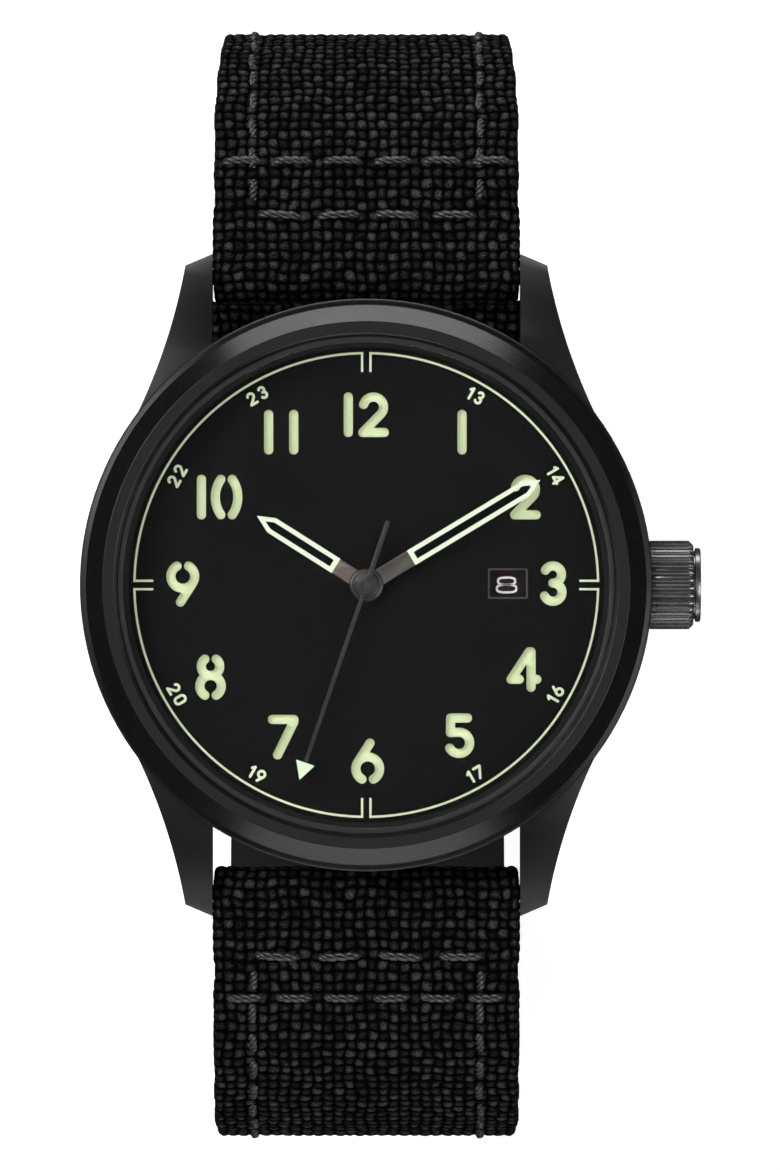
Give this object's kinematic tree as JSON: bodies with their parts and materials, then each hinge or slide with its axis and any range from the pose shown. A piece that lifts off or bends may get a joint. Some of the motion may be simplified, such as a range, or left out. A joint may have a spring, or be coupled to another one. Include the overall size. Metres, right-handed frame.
{
  "type": "field watch",
  "caption": "Field wristwatch: round black steel case, sandwich dial with hands and date, quartz movement, and a canvas strap with a pin buckle.",
  "frame": {"origin": "centre of the case back's outer face", "axes": "+Z out of the dial, +Y to 12 o'clock, +X to the crown at 3 o'clock"},
  "size_m": [0.0445, 0.0804, 0.0647],
  "materials": {
    "case_black": "bead-blasted black coating",
    "crown_gunmetal": "satin gunmetal",
    "steel": "satin",
    "black_steel": "satin black",
    "crystal_glass": "polished, anti-reflection coated",
    "gasket": "matte",
    "dial_black": "matte",
    "luminous": "matte luminous paint",
    "dial_print": "printed ink",
    "hand_metal": "brushed dark grey",
    "seconds_grey": "satin dark grey",
    "pale_lume": "matte luminous paint",
    "date_print": "matte with white numerals",
    "brass_plate": "satin",
    "wheel_brass": "polished",
    "white_plastic": "moulded",
    "copper_coil": "enamelled copper",
    "circuit": "satin",
    "canvas": "heavy plain-weave canvas"
  },
  "bodies": {
    "watch_case": {"mid_case": "case_black", "bezel": "case_black", "crystal": "crystal_glass", "crystal_gasket": "gasket", "inner_flange": "case_black", "case_back": "case_black", "case_back_gasket": "gasket", "dial_plate": "dial_black", "lume_disc": "luminous", "dial_print": "dial_print", "date_window_frame": "black_steel", "calendar_plate": "steel", "crown_tube": "steel", "movement_ring": "white_plastic", "main_plate": "brass_plate", "train_bridge": "brass_plate", "bridge_screws": "steel", "battery": "steel", "battery_clamp": "steel", "coil": "copper_coil", "stator": "steel", "circuit_board": "circuit", "quartz_can": "steel", "spring_bar_12": "steel", "spring_bar_6": "steel"},
    "hour_hand": {"hour_hand": "hand_metal", "hour_hand_lume": "luminous", "hour_wheel": "wheel_brass"},
    "minute_hand": {"minute_hand": "hand_metal", "minute_hand_lume": "luminous", "cannon_pinion": "wheel_brass"},
    "seconds_hand": {"seconds_hand": "seconds_grey", "seconds_hand_lume": "pale_lume", "fourth_wheel": "wheel_brass"},
    "minute_wheel": {"minute_wheel": "wheel_brass"},
    "fifth_wheel": {"fifth_wheel": "wheel_brass"},
    "rotor": {"rotor": "steel"},
    "third_wheel": {"third_wheel": "wheel_brass"},
    "centre_wheel": {"centre_wheel": "wheel_brass"},
    "date_ring": {"date_ring": "date_print"},
    "crown_seal": {"crown_gasket": "gasket"},
    "crown": {"crown": "crown_gunmetal", "stem": "steel"},
    "clutch_pinion": {"clutch_pinion": "steel"},
    "strap_short": {"strap_short": "canvas", "fixed_keeper": "canvas"},
    "free_keeper": {"free_keeper": "canvas"},
    "buckle": {"buckle_frame": "black_steel", "buckle_bar": "black_steel"},
    "tongue": {"buckle_tongue": "black_steel"},
    "strap_long": {"strap_long": "canvas"},
    "tip_12_right": {"spring_bar_12_right_tip": "steel"},
    "tip_12_left": {"spring_bar_12_left_tip": "steel"},
    "tip_6_right": {"spring_bar_6_right_tip": "steel"},
    "tip_6_left": {"spring_bar_6_left_tip": "steel"}
  },
  "joints": [
    {"name": "hour_hand_turn", "type": "hinge", "parent": "watch_case", "child": "hour_hand", "pos_m": [0, 0, 0.005], "axis": [0, 0, -1], "continuous": true},
    {"name": "minute_hand_turn", "type": "hinge", "parent": "watch_case", "child": "minute_hand", "pos_m": [0, 0, 0.005], "axis": [0, 0, -1], "continuous": true},
    {"name": "seconds_hand_turn", "type": "hinge", "parent": "watch_case", "child": "seconds_hand", "pos_m": [0, 0, 0.005], "axis": [0, 0, -1], "continuous": true},
    {"name": "minute_wheel_turn", "type": "hinge", "parent": "watch_case", "child": "minute_wheel", "pos_m": [-0.0012, 0.00208, 0.005], "axis": [0, 0, -1], "continuous": true},
    {"name": "fifth_wheel_turn", "type": "hinge", "parent": "watch_case", "child": "fifth_wheel", "pos_m": [0.0018, 0.00312, 0.003], "axis": [0, 0, -1], "continuous": true},
    {"name": "rotor_turn", "type": "hinge", "parent": "watch_case", "child": "rotor", "pos_m": [0.00292, 0.00506, 0.003], "axis": [0, 0, -1], "continuous": true},
    {"name": "third_wheel_turn", "type": "hinge", "parent": "watch_case", "child": "third_wheel", "pos_m": [-0.00338, -0.00123, 0.003], "axis": [0, 0, -1], "continuous": true},
    {"name": "centre_wheel_turn", "type": "hinge", "parent": "watch_case", "child": "centre_wheel", "pos_m": [0, 0, 0.005], "axis": [0, 0, -1], "continuous": true},
    {"name": "date_ring_turn", "type": "hinge", "parent": "watch_case", "child": "date_ring", "pos_m": [0, 0, 0.005], "axis": [0, 0, -1], "continuous": true},
    {"name": "crown_pull", "type": "slide", "parent": "watch_case", "child": "crown_seal", "axis": [1, 0, 0], "range_m": [0, 0.0016]},
    {"name": "crown_turn", "type": "hinge", "parent": "crown_seal", "child": "crown", "pos_m": [0.02, 0, 0.0034], "axis": [1, 0, 0], "continuous": true},
    {"name": "clutch_slide", "type": "slide", "parent": "watch_case", "child": "clutch_pinion", "axis": [1, 0, 0], "range_m": [-0.0006, 0]},
    {"name": "strap_short_swing", "type": "hinge", "parent": "watch_case", "child": "strap_short", "pos_m": [0, 0.022, 0.00175], "axis": [1, 0, 0], "range_deg": [-8, 75]},
    {"name": "strap_long_swing", "type": "hinge", "parent": "watch_case", "child": "strap_long", "pos_m": [0, -0.022, 0.00175], "axis": [-1, 0, 0], "range_deg": [-6, 75]},
    {"name": "free_keeper_slide", "type": "slide", "parent": "strap_short", "child": "free_keeper", "axis": [0, 1, 0], "range_m": [-0.0027, 0.0022]},
    {"name": "buckle_swing", "type": "hinge", "parent": "strap_short", "child": "buckle", "pos_m": [0, 0.00345, -0.03323], "axis": [1, 0, 0], "range_deg": [-35, 35]},
    {"name": "tongue_swing", "type": "hinge", "parent": "buckle", "child": "tongue", "pos_m": [0, 0.00345, -0.03323], "axis": [1, 0, 0], "range_deg": [0, 85]},
    {"name": "spring_bar_12_right_press", "type": "slide", "parent": "watch_case", "child": "tip_12_right", "axis": [-1, 0, 0], "range_m": [0, 0.001], "stiffness_N_per_m": 1500, "springref_m": -0.0008},
    {"name": "spring_bar_12_left_press", "type": "slide", "parent": "watch_case", "child": "tip_12_left", "axis": [1, 0, 0], "range_m": [0, 0.001], "stiffness_N_per_m": 1500, "springref_m": -0.0008},
    {"name": "spring_bar_6_right_press", "type": "slide", "parent": "watch_case", "child": "tip_6_right", "axis": [-1, 0, 0], "range_m": [0, 0.001], "stiffness_N_per_m": 1500, "springref_m": -0.0008},
    {"name": "spring_bar_6_left_press", "type": "slide", "parent": "watch_case", "child": "tip_6_left", "axis": [1, 0, 0], "range_m": [0, 0.001], "stiffness_N_per_m": 1500, "springref_m": -0.0008}
  ],
  "couplings": [
    {"joint": "hour_hand_turn", "follows": "minute_hand_turn", "ratio": 0.083333},
    {"joint": "minute_wheel_turn", "follows": "minute_hand_turn", "ratio": -0.33333},
    {"joint": "fifth_wheel_turn", "follows": "seconds_hand_turn", "ratio": -5},
    {"joint": "rotor_turn", "follows": "seconds_hand_turn", "ratio": 30},
    {"joint": "third_wheel_turn", "follows": "seconds_hand_turn", "ratio": -0.13333},
    {"joint": "centre_wheel_turn", "follows": "seconds_hand_turn", "ratio": 0.016667},
    {"joint": "clutch_slide", "follows": "crown_pull", "ratio": -0.375}
  ]
}
